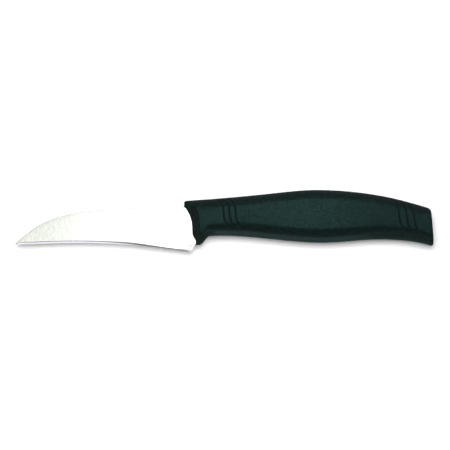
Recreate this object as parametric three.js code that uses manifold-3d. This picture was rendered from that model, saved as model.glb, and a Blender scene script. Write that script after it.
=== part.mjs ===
// A paring knife with a short curved blade: a stamped, ground steel blank whose tang is held inside
// a one-piece moulded handle. Millimetres, +Z up. The knife lies on its side, with the point towards
// -X and the spine towards +Y. Its origin is under the middle of its box, on the surface it lies on.
import * as THREE from "three";
import { mergeVertices } from "three/addons/utils/BufferGeometryUtils.js";
import Module from "manifold-3d";

// Driving dimensions. Lengths run back from the front of the handle, heights from the tang's axis.

// Blade
const BLADE_LENGTH = 72.8; // handle front to point
const BLADE_THICKNESS = 1.6; // at the tang and the root of the spine
const POINT_THICKNESS = 0.9; // spine thickness at the point
const POINT_FLAT = 0.2; // length ground off the very point
const POINT_DROP = 10.5; // point below the axis
const POINT_SLOPE = 0.98; // of the spine where it reaches the point
const SPINE_HEIGHT = 5.4; // spine above the axis at the handle
const SHOULDER_FROM_POINT = 13.3; // where the spine's curve turns from steep to shallow
const SHOULDER_DROP = 0.86;
const SHOULDER_SLOPE = 0.43;
const BACK_FROM_POINT = 30.5; // where the spine runs out almost straight
const BACK_HEIGHT = 3.66;
const BACK_SLOPE = 0.12;
const ARCH_FROM_POINT = 26; // highest place of the cutting edge
const ARCH_DROP = 9.88;
const EDGE_BEND_FROM_FRONT = 14.7; // where the cutting edge runs straight to the heel
const EDGE_BEND_DROP = 11.5;
const EDGE_SLOPE = 0.12;
const HEEL_DROP = 13.6; // heel corner below the axis
const HEEL_BEHIND_FRONT = 3.15;
const HEEL_RAKE = 0.5; // run of the heel's back edge for each millimetre it rises
const PLUNGE_BEHIND_FRONT = 1.9; // where the ground faces end
const PLUNGE_LAP = 0.4; // how far the flat of the heel runs on into the ground part
const BEVEL_HEIGHT = 0.9; // honed bevel along the cutting edge
const BEVEL_THICKNESS = 0.4; // where the honed bevel meets the ground face

// Tang
const TANG_LENGTH = 64;
const TANG_WIDTH = 8;
const TANG_END_WIDTH = 6;
const TANG_HOLE_DIAMETER = 3.6;
const TANG_HOLE_COUNT = 3;
const TANG_HOLE_BEHIND_SHOULDER = 8;
const TANG_HOLE_FROM_END = 8;
const TANG_CLEARANCE = 0.3; // between the tang and the socket around it

// Handle, side outline
const NECK_BEHIND_FRONT = 16.5; // narrowest place, behind the guard
const BELLY_BEHIND_NECK = 43.3; // deepest place of the lower rim
const WAIST_BEHIND_BELLY = 24.1;
const BUTT_BEHIND_WAIST = 23;
const PEAK_BEFORE_BELLY = 2.8; // highest place of the upper rim
const CREST_BEFORE_PEAK = 20.5; // where the upper rim is steepest
const FRONT_TOP = 8.25;
const FRONT_TOP_SLOPE = 0.055;
const CREST_TOP = 11.3;
const CREST_SLOPE = 0.105;
const PEAK_TOP = 12.95;
const BUTT_TOP = 4.9;
const BUTT_TOP_SLOPE = 0.32;
const FRONT_DEPTH = 8.2;
const FRONT_DEPTH_SLOPE = 0.14;
const NECK_DEPTH = 6.83;
const BELLY_DEPTH = 9.84;
const WAIST_DEPTH = 8.48;
const BUTT_DEPTH = 11.5;
const BUTT_DEPTH_SLOPE = 0.34;
const BUTT_RAKE = 0.075; // lean of the butt face, run for each millimetre of height
const BUTT_RAKE_LENGTH = 22; // how far before the butt the lean begins
const BUTT_ROUND = 1.2;
const GUARD_BEHIND_FRONT = 6.85; // rear corner of the guard's tip
const GUARD_DROP = 3.4;
const GUARD_RUN = 4.2; // length over which the guard rises to the neck

// Handle, cross-section
const HANDLE_THICKNESS = 15;
const FRONT_THICKNESS = 13;
const FRONT_TAPER_LENGTH = 14;
const BUTT_THICKNESS = 14.2;
const BUTT_TAPER_LENGTH = 24;
const TOP_ROUND = 4.8; // height of the rounding between side panel and upper rim
const BELLY_ROUND = 6.5; // the same at the lower rim

// Handle, front face: an inner contour against the blade and an outer one on the side panels
const NOSE_FLAT = 2.6; // width of the face's flat middle, across the blade
const NOSE_CORNER = 0.9; // rounding of the upper front corner
const FACE_TOP = 5.75; // where the face starts to slant back, just over the spine
const FACE_TOP_SLOPE = 0.84;
const FACE_HOLLOW = 3.37; // set-back of the inner contour at the tang's lower side
const FACE_HOLLOW_DEPTH = 2;
const FACE_LOWER = 3.62;
const FACE_LOWER_DEPTH = 6;
const FACE_GUARD = 5.05; // set-back at the guard
const FACE_GUARD_DEPTH = 9.7;
const FACE_LOWER_SLOPE = 0.1;
const PANEL_TOP_SETBACK = 4.8; // set-back of the outer contour at the top, the middle and the guard
const PANEL_TOP_SLOPE = 0.4;
const PANEL_MIDDLE_SETBACK = 6.55;
const PANEL_GUARD_SETBACK = 7.5;
const PANEL_GUARD_SLOPE = 0.2;

// Grip grooves, on both side panels
const GROOVE_RADIUS = 0.42;
const GROOVE_COUNT = 3;
const GROOVE_TOP_MARGIN = 0.7; // from the upper rim
const GROOVE_BELLY_MARGIN = 3.6; // from the lower rim
const FRONT_GROOVE_BEHIND_FRONT = 16.7;
const FRONT_GROOVE_PITCH = 2.6;
const FRONT_GROOVE_TOP_LEAN = 3;
const FRONT_GROOVE_BELLY_LEAN = 2.7;
const REAR_GROOVE_FROM_BUTT = 14.6;
const REAR_GROOVE_PITCH = 3.45;
const REAR_GROOVE_TOP_LEAN = 3.5;
const REAR_GROOVE_BELLY_LEAN = 2.95;
const GROOVE_UPPER_BOW = 2.55; // how far the two bends of the S pull off its middle line
const GROOVE_LOWER_BOW = 1.9;
const GROOVE_UPPER_BEND = 0.15; // where they are, as shares of the groove's height from its top
const GROOVE_LOWER_BEND = 0.55;
const GROOVE_FADE = 3; // how sharply a groove runs out at its ends

// Facets
const BLADE_STATIONS = 48;
const NOSE_STATIONS = 3;
const GUARD_STATIONS = 7;
const GRIP_STATIONS = 34;
const ROUND_FACETS = 7;
const BUTT_FACETS = 4;
const FACE_FACETS = 9;
const FACE_STRIPS = 4;
const GROOVE_STEPS = 14;
const GROOVE_FACETS = 3;

// Sizes that follow from the ones above
const BELLY_AT = NECK_BEHIND_FRONT + BELLY_BEHIND_NECK;
const PEAK_AT = BELLY_AT - PEAK_BEFORE_BELLY;
const WAIST_AT = BELLY_AT + WAIST_BEHIND_BELLY;
const HANDLE_LENGTH = WAIST_AT + BUTT_BEHIND_WAIST;
const TANG_SHOULDER = HEEL_BEHIND_FRONT + HEEL_RAKE * (HEEL_DROP - TANG_WIDTH / 2);
const HALF_THICKNESS = HANDLE_THICKNESS / 2;
const CUT_REACH = 5; // how far a cutting tool stands out of what it cuts

const STEEL = new THREE.MeshStandardMaterial({ color: 0xdcdedb, metalness: 1, roughness: 0.28 });
const POLYMER = new THREE.MeshStandardMaterial({ color: 0x1f3433, metalness: 0, roughness: 0.5 });

const wasm = await Module();
wasm.setup();

// A closed geometry as a solid that can be joined and cut.
function toSolid(geometry) {
  const bare = geometry.clone();
  bare.deleteAttribute("normal");
  bare.deleteAttribute("uv");
  const merged = mergeVertices(bare);
  const vertProperties = new Float32Array(merged.attributes.position.array);
  const triVerts = new Uint32Array(merged.index.array);
  return new wasm.Manifold(new wasm.Mesh({ numProp: 3, vertProperties, triVerts }));
}

function toMesh(name, solid, material) {
  const { vertProperties, triVerts } = solid.getMesh();
  const geometry = new THREE.BufferGeometry();
  geometry.setAttribute("position", new THREE.BufferAttribute(vertProperties, 3));
  geometry.setIndex(new THREE.BufferAttribute(triVerts, 1));
  geometry.computeVertexNormals();
  const mesh = new THREE.Mesh(geometry, material);
  mesh.name = name;
  return mesh;
}

// A smooth curve through stations [along, value, slope], as a function of the distance along it.
// Before its first station and after its last one it runs straight on.
function curveThrough(stations) {
  const first = stations[0];
  const last = stations[stations.length - 1];
  return (along) => {
    if (along <= first[0]) return first[1] + first[2] * (along - first[0]);
    if (along >= last[0]) return last[1] + last[2] * (along - last[0]);
    const next = stations.findIndex((station) => station[0] > along);
    const [start, startValue, startSlope] = stations[next - 1];
    const [end, endValue, endSlope] = stations[next];
    const span = end - start;
    const t = (along - start) / span;
    const ease = t * t * (3 - 2 * t);
    const leave = t * (1 - t) * (1 - t) * span * startSlope;
    const arrive = t * t * (t - 1) * span * endSlope;
    return startValue + (endValue - startValue) * ease + leave + arrive;
  };
}

// A closed skin over a row of rings with equally many points. flatten gives a ring's points in the
// plane of the ring, seen against the direction in which the rings follow each other.
function skinOver(rings, flatten) {
  const count = rings[0].length;
  const triangles = [];
  for (let r = 0; r + 1 < rings.length; r += 1) {
    for (let i = 0; i < count; i += 1) {
      const a = r * count + i;
      const b = r * count + ((i + 1) % count);
      triangles.push(a, b, b + count, a, b + count, a + count);
    }
  }
  const lastRing = (rings.length - 1) * count;
  const cap = (ring) => THREE.ShapeUtils.triangulateShape(ring.map(flatten), []);
  for (const [a, b, c] of cap(rings[0])) triangles.push(c, b, a);
  for (const [a, b, c] of cap(rings.at(-1))) triangles.push(lastRing + a, lastRing + b, lastRing + c);
  const geometry = new THREE.BufferGeometry().setFromPoints(rings.flat());
  geometry.setIndex(triangles);
  return geometry;
}

const POINT_AT = -BLADE_LENGTH - POINT_FLAT;

const spineHeight = curveThrough([
  [POINT_AT, -POINT_DROP, POINT_SLOPE],
  [POINT_AT + SHOULDER_FROM_POINT, -SHOULDER_DROP, SHOULDER_SLOPE],
  [POINT_AT + BACK_FROM_POINT, BACK_HEIGHT, BACK_SLOPE],
  [TANG_SHOULDER, SPINE_HEIGHT, 0],
]);

const edgeHeight = curveThrough([
  [POINT_AT, -POINT_DROP, 0],
  [POINT_AT + ARCH_FROM_POINT, -ARCH_DROP, 0],
  [-EDGE_BEND_FROM_FRONT, -EDGE_BEND_DROP, -EDGE_SLOPE],
  [HEEL_BEHIND_FRONT, -HEEL_DROP, -EDGE_SLOPE],
]);

// The ground part of the blade: a wedge from the spine down to the honed bevel and its sharp edge.
function groundBlade() {
  const start = -BLADE_LENGTH;
  const end = PLUNGE_BEHIND_FRONT;
  const rings = [];
  for (let i = 0; i <= BLADE_STATIONS; i += 1) {
    const x = THREE.MathUtils.lerp(start, end, i / BLADE_STATIONS);
    const top = spineHeight(x);
    const edge = edgeHeight(x);
    const spine = THREE.MathUtils.mapLinear(x, start, end, POINT_THICKNESS, BLADE_THICKNESS) / 2;
    const bevel = Math.min(BEVEL_HEIGHT, (top - edge) / 2);
    const shoulder = Math.min(BEVEL_THICKNESS / 2, spine);
    rings.push([
      new THREE.Vector3(x, top, spine),
      new THREE.Vector3(x, edge + bevel, shoulder),
      new THREE.Vector3(x, edge, 0),
      new THREE.Vector3(x, edge + bevel, -shoulder),
      new THREE.Vector3(x, top, -spine),
    ]);
  }
  return skinOver(rings, (p) => new THREE.Vector2(p.y, p.z));
}

function tangHolePlaces() {
  const first = TANG_SHOULDER + TANG_HOLE_BEHIND_SHOULDER;
  const last = TANG_LENGTH - TANG_HOLE_FROM_END;
  const pitch = (last - first) / (TANG_HOLE_COUNT - 1);
  return Array.from({ length: TANG_HOLE_COUNT }, (_, i) => first + pitch * i);
}

// The flat part of the blank, behind its ground faces: heel, shoulders and tang with its lock holes.
// With a margin it is the socket around the tang, and front is then a place outside the handle.
function tangPlate(front, margin) {
  const halfWidth = TANG_WIDTH / 2 + margin;
  const halfEnd = TANG_END_WIDTH / 2 + margin;
  const shoulder = TANG_SHOULDER + margin;
  const end = TANG_LENGTH + margin;
  const outline = new THREE.Shape();
  outline.moveTo(front, SPINE_HEIGHT + margin);
  outline.lineTo(front, edgeHeight(front) - margin);
  outline.lineTo(HEEL_BEHIND_FRONT + margin, -HEEL_DROP - margin);
  outline.lineTo(shoulder, -halfWidth);
  outline.lineTo(end, -halfEnd);
  outline.lineTo(end, halfEnd);
  outline.lineTo(shoulder, halfWidth);
  outline.lineTo(shoulder, SPINE_HEIGHT + margin);
  outline.closePath();
  for (const place of tangHolePlaces()) {
    const hole = new THREE.Path();
    hole.absarc(place, 0, TANG_HOLE_DIAMETER / 2 - margin, 0, 2 * Math.PI, true);
    outline.holes.push(hole);
  }
  const depth = BLADE_THICKNESS + 2 * margin;
  const plate = new THREE.ExtrudeGeometry(outline, { depth, bevelEnabled: false, curveSegments: 10 });
  return plate.translate(0, 0, -depth / 2);
}

function bladeSolid() {
  return toSolid(groundBlade()).add(toSolid(tangPlate(PLUNGE_BEHIND_FRONT - PLUNGE_LAP, 0)));
}

const upperRim = curveThrough([
  [0, FRONT_TOP, FRONT_TOP_SLOPE],
  [PEAK_AT - CREST_BEFORE_PEAK, CREST_TOP, CREST_SLOPE],
  [PEAK_AT, PEAK_TOP, 0],
  [HANDLE_LENGTH, BUTT_TOP, -BUTT_TOP_SLOPE],
]);

// The lower rim as it would run without the guard.
const bellyLine = curveThrough([
  [0, -FRONT_DEPTH, FRONT_DEPTH_SLOPE],
  [NECK_BEHIND_FRONT, -NECK_DEPTH, 0],
  [BELLY_AT, -BELLY_DEPTH, 0],
  [WAIST_AT, -WAIST_DEPTH, 0],
  [HANDLE_LENGTH, -BUTT_DEPTH, -BUTT_DEPTH_SLOPE],
]);

function guardDrop(x) {
  return GUARD_DROP * (1 - THREE.MathUtils.smoothstep(x, GUARD_BEHIND_FRONT, GUARD_BEHIND_FRONT + GUARD_RUN));
}

// Half the handle's thickness: level along the grip, eased off towards the front and the butt.
function halfThickness(x) {
  const front = THREE.MathUtils.clamp(1 - x / FRONT_TAPER_LENGTH, 0, 1);
  const butt = THREE.MathUtils.clamp(1 - (HANDLE_LENGTH - x) / BUTT_TAPER_LENGTH, 0, 1);
  const frontLoss = (HANDLE_THICKNESS - FRONT_THICKNESS) / 2;
  const buttLoss = (HANDLE_THICKNESS - BUTT_THICKNESS) / 2;
  return HALF_THICKNESS - frontLoss * front ** 2 - buttLoss * butt ** 2;
}

// One cross-section: the rims, the flat of the side panel between its two roundings, half thickness.
function sectionAt(x) {
  const top = upperRim(x);
  const bottom = bellyLine(x) - guardDrop(x);
  const panelTop = top - TOP_ROUND;
  const panelBottom = bottom + BELLY_ROUND;
  return { top, panelTop, panelBottom, bottom, half: halfThickness(x) };
}

// Height of the side panel or its rounding over the middle plane.
function sideHeight(x, y) {
  const { top, panelTop, panelBottom, bottom, half } = sectionAt(x);
  const above = (y - panelTop) / (top - panelTop);
  const below = (panelBottom - y) / (panelBottom - bottom);
  const share = THREE.MathUtils.clamp(Math.max(above, below, 0), 0, 1);
  return half * Math.sqrt(1 - share * share);
}

// A ring around the section at x, drawn in by inset, with quarter ellipses between panels and rims.
function handleRing(x, inset) {
  const { top, panelTop, panelBottom, bottom, half } = sectionAt(x);
  const high = top - inset;
  const low = bottom + inset;
  const deep = half - inset;
  const upper = Array.from({ length: ROUND_FACETS + 1 }, (_, i) => (i / ROUND_FACETS) * (Math.PI / 2));
  const side = [
    ...upper.map((a) => [high - (high - panelTop) * (1 - Math.cos(a)), deep * Math.sin(a)]),
    ...upper.toReversed().map((a) => [low + (panelBottom - low) * (1 - Math.cos(a)), deep * Math.sin(a)]),
  ];
  const other = side.slice(1, -1).toReversed().map(([y, z]) => [y, -z]);
  const lean = BUTT_RAKE * THREE.MathUtils.smoothstep(x, HANDLE_LENGTH - BUTT_RAKE_LENGTH, HANDLE_LENGTH);
  const middle = (BUTT_TOP - BUTT_DEPTH) / 2;
  return [...side, ...other].map(([y, z]) => new THREE.Vector3(x + lean * (middle - y), y, z));
}

function handleBody() {
  const rings = [];
  const neck = GUARD_BEHIND_FRONT + GUARD_RUN;
  const end = HANDLE_LENGTH - BUTT_ROUND;
  const stretches = [
    [-CUT_REACH, GUARD_BEHIND_FRONT, NOSE_STATIONS],
    [GUARD_BEHIND_FRONT, neck, GUARD_STATIONS],
    [neck, end, GRIP_STATIONS],
  ];
  for (const [from, to, count] of stretches) {
    for (let i = 0; i < count; i += 1) rings.push(handleRing(THREE.MathUtils.lerp(from, to, i / count), 0));
  }
  for (let i = 0; i <= BUTT_FACETS; i += 1) {
    const turn = (i / BUTT_FACETS) * (Math.PI / 2);
    rings.push(handleRing(end + BUTT_ROUND * Math.sin(turn), BUTT_ROUND * (1 - Math.cos(turn))));
  }
  return skinOver(rings, (p) => new THREE.Vector2(p.y, p.z));
}

const faceInner = curveThrough([
  [-FACE_GUARD_DEPTH, FACE_GUARD, 0],
  [-FACE_LOWER_DEPTH, FACE_LOWER, -FACE_LOWER_SLOPE],
  [-FACE_HOLLOW_DEPTH, FACE_HOLLOW, -FACE_LOWER_SLOPE],
  [FACE_TOP, 0, -FACE_TOP_SLOPE],
]);

const faceOuter = curveThrough([
  [-FACE_GUARD_DEPTH, PANEL_GUARD_SETBACK, -PANEL_GUARD_SLOPE],
  [-FACE_HOLLOW_DEPTH, PANEL_MIDDLE_SETBACK, 0],
  [FRONT_TOP, PANEL_TOP_SETBACK, -PANEL_TOP_SLOPE],
]);

// What the front face leaves of the handle: everything behind a surface that runs straight from the
// inner contour, beside the blade, to the outer contour on each side panel.
function behindFace() {
  const corner = FRONT_TOP - NOSE_CORNER;
  const stops = [FRONT_TOP, corner, FACE_TOP, -FACE_HOLLOW_DEPTH, -FACE_LOWER_DEPTH, -FACE_GUARD_DEPTH];
  const heights = stops.slice(1).flatMap((low, s) =>
    Array.from({ length: FACE_FACETS }, (_, i) => THREE.MathUtils.lerp(stops[s], low, i / FACE_FACETS)));
  heights.push(-FACE_GUARD_DEPTH, -FACE_GUARD_DEPTH - CUT_REACH);
  const turn = (y) => THREE.MathUtils.clamp((y - corner) / NOSE_CORNER, 0, 1);
  const rounded = (y) => NOSE_CORNER * (1 - Math.sqrt(1 - turn(y) ** 2));
  const inner = (y) => (y > FACE_TOP ? rounded(y) : faceInner(y));
  const flat = NOSE_FLAT / 2;
  const reach = HALF_THICKNESS + CUT_REACH;
  const grow = (reach - flat) / (FRONT_THICKNESS / 2 - flat);
  const outer = (y) => inner(y) + grow * (faceOuter(y) - inner(y));
  const far = HANDLE_LENGTH + CUT_REACH;
  const high = PEAK_TOP + CUT_REACH;
  const ring = (side, share) => {
    const z = side * THREE.MathUtils.lerp(flat, reach, share);
    const contour = (y) => THREE.MathUtils.lerp(inner(y), outer(y), share);
    return [
      new THREE.Vector3(contour(FRONT_TOP), high, z),
      ...heights.map((y) => new THREE.Vector3(contour(y), y, z)),
      new THREE.Vector3(far, heights.at(-1), z),
      new THREE.Vector3(far, high, z),
    ];
  };
  const shares = Array.from({ length: FACE_STRIPS + 1 }, (_, i) => i / FACE_STRIPS);
  const rings = [
    ...shares.toReversed().map((share) => ring(-1, share)),
    ...shares.map((share) => ring(1, share)),
  ];
  return skinOver(rings, (p) => new THREE.Vector2(p.x, p.y));
}

// The path of one groove over a side panel: an S from the upper rim down to the belly's rounding. It
// rises out of the surface at both ends.
function groovePath(middle, topLean, bellyLean, side) {
  const high = upperRim(middle - topLean) - GROOVE_TOP_MARGIN;
  const low = bellyLine(middle + bellyLean) + GROOVE_BELLY_MARGIN;
  const curve = new THREE.CubicBezierCurve(
    new THREE.Vector2(middle - topLean, high),
    new THREE.Vector2(middle + GROOVE_UPPER_BOW, THREE.MathUtils.lerp(high, low, GROOVE_UPPER_BEND)),
    new THREE.Vector2(middle - GROOVE_LOWER_BOW, THREE.MathUtils.lerp(high, low, GROOVE_LOWER_BEND)),
    new THREE.Vector2(middle + bellyLean, low),
  );
  const points = Array.from({ length: GROOVE_STEPS + 1 }, (_, i) => {
    const share = i / GROOVE_STEPS;
    const { x, y } = curve.getPoint(share);
    const lift = GROOVE_RADIUS * (1 - Math.sin(Math.PI * share)) ** GROOVE_FADE;
    return new THREE.Vector3(x, y, side * (sideHeight(x, y) + lift));
  });
  return new THREE.CatmullRomCurve3(points);
}

function grooveCutters() {
  const round = new THREE.Shape().absarc(0, 0, GROOVE_RADIUS, 0, 2 * Math.PI);
  const cutters = [];
  for (const side of [1, -1]) {
    for (let i = 0; i < GROOVE_COUNT; i += 1) {
      const front = FRONT_GROOVE_BEHIND_FRONT + i * FRONT_GROOVE_PITCH;
      const rear = HANDLE_LENGTH - REAR_GROOVE_FROM_BUTT + i * REAR_GROOVE_PITCH;
      cutters.push(groovePath(front, FRONT_GROOVE_TOP_LEAN, FRONT_GROOVE_BELLY_LEAN, side));
      cutters.push(groovePath(rear, REAR_GROOVE_TOP_LEAN, REAR_GROOVE_BELLY_LEAN, side));
    }
  }
  const settings = { steps: GROOVE_STEPS, curveSegments: GROOVE_FACETS, bevelEnabled: false };
  return cutters.map((path) => new THREE.ExtrudeGeometry(round, { ...settings, extrudePath: path }));
}

function handleSolid() {
  let handle = toSolid(handleBody()).intersect(toSolid(behindFace()));
  handle = handle.subtract(toSolid(tangPlate(-CUT_REACH, TANG_CLEARANCE)));
  for (const cutter of grooveCutters()) handle = handle.subtract(toSolid(cutter));
  return handle;
}

const knife = new THREE.Group();
knife.add(toMesh("blade", bladeSolid(), STEEL));
knife.add(toMesh("handle", handleSolid(), POLYMER));

// The knife is drawn about the tang's axis and then set down with its box's bottom centre at the origin.
const box = new THREE.Box3().setFromObject(knife);
const middle = box.getCenter(new THREE.Vector3());
knife.position.set(-middle.x, -middle.y, -box.min.z);

export default knife;
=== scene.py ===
"""A paring knife with a short curved blade: a ground steel blank in a one-piece moulded handle.

The knife lies on its side, as its solids do. Shapes are worked out in millimetres about the tang's axis:
x runs back from the front of the handle, y up towards the spine, z off the blade's middle plane. They are
set into the part's frame, in metres, by a shift that is read from the blade's own box.
"""
import math

import bpy
import numpy as np
from bpy.props import FloatProperty, FloatVectorProperty, PointerProperty
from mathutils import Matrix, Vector


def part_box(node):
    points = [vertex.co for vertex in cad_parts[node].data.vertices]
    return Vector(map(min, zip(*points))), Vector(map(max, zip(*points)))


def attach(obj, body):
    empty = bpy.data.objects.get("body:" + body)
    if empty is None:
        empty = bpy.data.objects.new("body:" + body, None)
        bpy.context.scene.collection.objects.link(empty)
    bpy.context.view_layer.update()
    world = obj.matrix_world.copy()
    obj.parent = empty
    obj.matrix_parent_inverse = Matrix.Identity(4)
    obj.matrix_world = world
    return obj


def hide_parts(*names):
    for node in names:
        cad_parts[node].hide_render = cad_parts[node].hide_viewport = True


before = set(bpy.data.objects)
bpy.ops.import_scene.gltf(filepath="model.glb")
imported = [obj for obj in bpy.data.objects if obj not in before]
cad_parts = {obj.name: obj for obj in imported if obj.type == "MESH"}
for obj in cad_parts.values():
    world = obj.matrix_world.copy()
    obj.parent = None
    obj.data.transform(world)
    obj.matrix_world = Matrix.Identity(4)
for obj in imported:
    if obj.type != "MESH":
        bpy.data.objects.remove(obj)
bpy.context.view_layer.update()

bl_info = {
    "name": "Paring knife",
    "version": (1, 0, 0),
    "blender": (4, 5, 0),
    "location": "View3D > Sidebar > Knife",
    "description": "Dresses the paring knife: ground blade, moulded handle and studio",
    "category": "Object",
}

MM = 0.001
QUARTER = math.pi / 2

# Blade outline
BLADE_LENGTH = 72.8
BLADE_HALF = 0.8
POINT_HALF = 0.45
POINT_AT = -73.0
POINT_DROP = 10.5
SPINE_HEIGHT = 5.4
HEEL_AT = 3.15
HEEL_DROP = 13.6
HEEL_RAKE = 0.5
TANG_LENGTH = 64.0
TANG_HALF_WIDTH = 4.0
TANG_END_HALF_WIDTH = 3.0
TANG_SHOULDER = HEEL_AT + HEEL_RAKE * (HEEL_DROP - TANG_HALF_WIDTH)

# Blade section
HEEL_SWELL = (-2.0, 5.5)
POINT_THINNING = 5.0
THINNING_START = 1.1
GRIND_HOLLOW = 1.5
BEVEL_NARROWING = (45.0, 70.0)
HONE_SLOPE = 0.235
EDGE_HALF = 0.012
HONE_END = 0.5
HONE_HOLLOW_AT_POINT = 11.0
HONE_HOLLOW_AT_HEEL = 1.0
HONE_HOLLOW_ENDS = (18.0, 58.0)
# Painted shade on the heel: a darker patch standing in for a darker reflection, deepest towards its lower
# corner
HEEL_SHADE = (0.8, 2.6)
HEEL_SHADE_TOP = 0.45
HEEL_SHADE_POWER = 3

# Limits near the point: the bevel's share of the height, the others' of the half thickness
BEVEL_LIMIT = 0.4
SHOULDER_LIMIT = 0.6
CORNER_LIMIT = 0.5

# Handle outline
FRONT_TOP = 8.25
GUARD_AT = 6.85
GUARD_DROP = 3.4
GUARD_RUN = 4.2
PEAK_AT = 57.0
BELLY_AT = 59.8
WAIST_AT = 83.9
HANDLE_LENGTH = 106.9
HANDLE_HALF = 7.5
BUTT_TOP = 4.9
BUTT_DEPTH = 11.5
BUTT_RAKE = 0.075
BUTT_RAKE_LENGTH = 22.0
BUTT_ROUND = 1.2
FRONT_TAPER = (14.0, 1.0)
BUTT_TAPER = (24.0, 0.4)
TOP_ROUND = 4.1
BELLY_ROUND = 6.5
FRONT_BELLY_ROUND = 5.4
FRONT_BELLY_ENDS = (13.0, 27.0)
BUTT_BELLY_ROUND = 5.7
BUTT_BELLY_ENDS = (92.0, 105.0)
PANEL_CROWN = 0.012

# Front face of the handle, and the blade's slot in it
NOSE_HALF_FLAT = 1.3
NOSE_CORNER = 0.9
NOSE_SOFTNESS = 0.03
FACE_TOP = 5.75
FACE_HALF = 6.5
EDGE_LIMIT = 0.4
SLOT_GAP = 0.05
SLOT_LOW = -9.8
SLOT_TOP = SPINE_HEIGHT + SLOT_GAP
SLOT_HALF = BLADE_HALF + SLOT_GAP
SLOT_END_COLUMNS = 3

# Matt areas of the moulding: how matt each is, and between which shares of its rounding it sets in
MATT_FACE = 0.5
MATT_UPPER = 1.0
MATT_UPPER_ENDS = (0.05, 0.55)
MATT_LOWER = 0.85
MATT_LOWER_ENDS = (0.55, 0.95)
MATT_REAR_ENDS = (0.3, 0.7)
MATT_GUARD = 1.0
MATT_GUARD_ENDS = (0.2, 0.6)

# Pale strip along the lower rim, a painted reflection of the floor
RIM_REFLECTION_ENDS = (0.6, 0.8)
RIM_REFLECTION_FRONT = (8.0, 15.0)
PALE_REAR = (68.0, 90.0)
RIM_REFLECTION_LOSS = 0.85

# Grip grooves
GROOVE_COUNT = 3
GROOVE_TOP_MARGIN = 0.7
GROOVE_BELLY_MARGIN = 3.6
GROOVE_BOWS = (2.55, -1.9)
GROOVE_BENDS = (0.15, 0.55)
GROOVE_FADE = 6
GROOVE_BELL = 1.5
GROOVE_ROW_REACH = 0.5
GROOVE_MARGIN = 1.2
LAND_MARGIN = 0.75
GROOVE_SETS = (
    {"first": 16.7, "pitch": 2.6, "top_lean": 3.0, "belly_lean": 2.7},
    {"first": HANDLE_LENGTH - 14.6, "pitch": 3.2, "top_lean": 3.5, "belly_lean": 2.95},
)

# Rings and columns of the meshes, both ends of each stretch counted, and how some crowd together
POINT_RINGS = 156
POINT_CROWDING = 1.3
HEEL_RINGS = 14
HEEL_CORNER_RINGS = 6
HEEL_BACK_RINGS = 14
TANG_RINGS = 9
SPINE_COLUMNS = 4
SPINE_ROUND_COLUMNS = 5
GROUND_COLUMNS = 44
HONED_COLUMNS = 11
HONED_CROWDING = 1.5
UPPER_COLUMNS = 25
PANEL_COLUMNS = 30
LOWER_COLUMNS = 29
FACE_RINGS = 18
EDGE_RINGS = 8
FRONT_RINGS = 28
GROOVE_RINGS = 15
LAND_RINGS = 3
MIDDLE_RINGS = 66
REAR_RINGS = 12
BUTT_RINGS = 9

# Angles from which an edge of each mesh is sharp
BLADE_CREASE = math.radians(10)
HANDLE_CREASE = math.radians(50)

# Searches for the front edge and along the grooves
EDGE_GUESS = 5.0
EDGE_STEPS = 60
GROOVE_STEPS = 12
GROOVE_SAMPLES = 200
SLOPE_STEP = 0.05

# Noise of both materials
NOISE_ROUGHNESS = 0.6
NOISE_SPREAD = (0.3, 0.7)

# Steel: how its painted shade gathers at the spine, near the point and on the heel, and its roughness
GRIND_STRETCH = (1, 0.2, 0.2)
COARSE_GRIND = 0.75
COARSE_SHADE = 0.16
POINT_SHADE = 0.5
POINT_SHADE_ENDS = (4.0, 46.0)
SPINE_SHADE = 0.45
SPINE_SHADE_POWER = 12.0
SPINE_LINE = 0.4
SPINE_LINE_POWER = 40.0
MOTTLE_SCALE = 700.0
MOTTLE = (0.1, 0.9)
STEEL_ROUGHNESS = (0.16, 0.24)
HONED_ROUGHNESS = 0.08
GRIND_BUMP = 0.12
GRIND_BUMP_DEPTH = 0.02

# Polymer: its grain, clouds and roughness, and the gloss of its sides and of its front face
GRAIN_TURN = (0.6, 0.4, 0.2)
GRAIN_CONTRAST = 3.2
CLOUD_SCALE = 90.0
CLOUD_CONTRAST = 0.3
TONE_SHIFT = -1.3
MATT_TONE = 0.45
FULLY_MATT = 1.3
POLYMER_ROUGHNESS = (0.40, 0.24)
MATT_ROUGHNESS = 0.62
GROOVE_ROUGHNESS = 0.12
POLYMER_GLOSS = 0.165
FACE_GLOSS = 0.08
GRAIN_BUMP = 0.6
GRAIN_BUMP_DEPTH = 0.03

# Surroundings: from where to where each runs, as a part of the ray's direction, and its light at both ends
DOME = (0.25, 0.9, 0.05, 0.12)
HORIZON = (0.07, 0.16, 0.95, 0.0)
SIDE_WALLS = (0.28, 0.8, 0.0, 0.75)
LOW_WALL = (0.55, 0.8, 0.22, 0.0)

# Stage, in metres, with the places under the camera and the small lamps in millimetres
FLOOR_REACH = 6.0
FLOOR_DROP = 0.00005
FLOOR_ROUGHNESS = 0.9
GLOW_ENDS = (0.25, 2.2)
CAMERA_OVER = (0.34, -1.84)
SHEEN_OVER = (36.0, 2.0)
NECK_SHEEN_OVER = (-13.0, 0.0)


# Curves

def curve_through(*stations):
    """A smooth curve through (along, value, slope): cubic Hermite pieces, straight on beyond both ends."""
    along, value, slope = np.array(stations, dtype=float).T

    def at(x):
        inside = np.clip(x, along[0], along[-1])
        k = np.clip(np.searchsorted(along, inside, side="right") - 1, 0, len(along) - 2)
        span = along[k + 1] - along[k]
        t = (inside - along[k]) / span
        ease = t * t * (3 - 2 * t)
        leave = t * (1 - t) ** 2 * span * slope[k]
        arrive = t * t * (t - 1) * span * slope[k + 1]
        run_on = slope[0] * np.minimum(x - along[0], 0) + slope[-1] * np.maximum(x - along[-1], 0)
        return value[k] + (value[k + 1] - value[k]) * ease + leave + arrive + run_on

    return at


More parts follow.
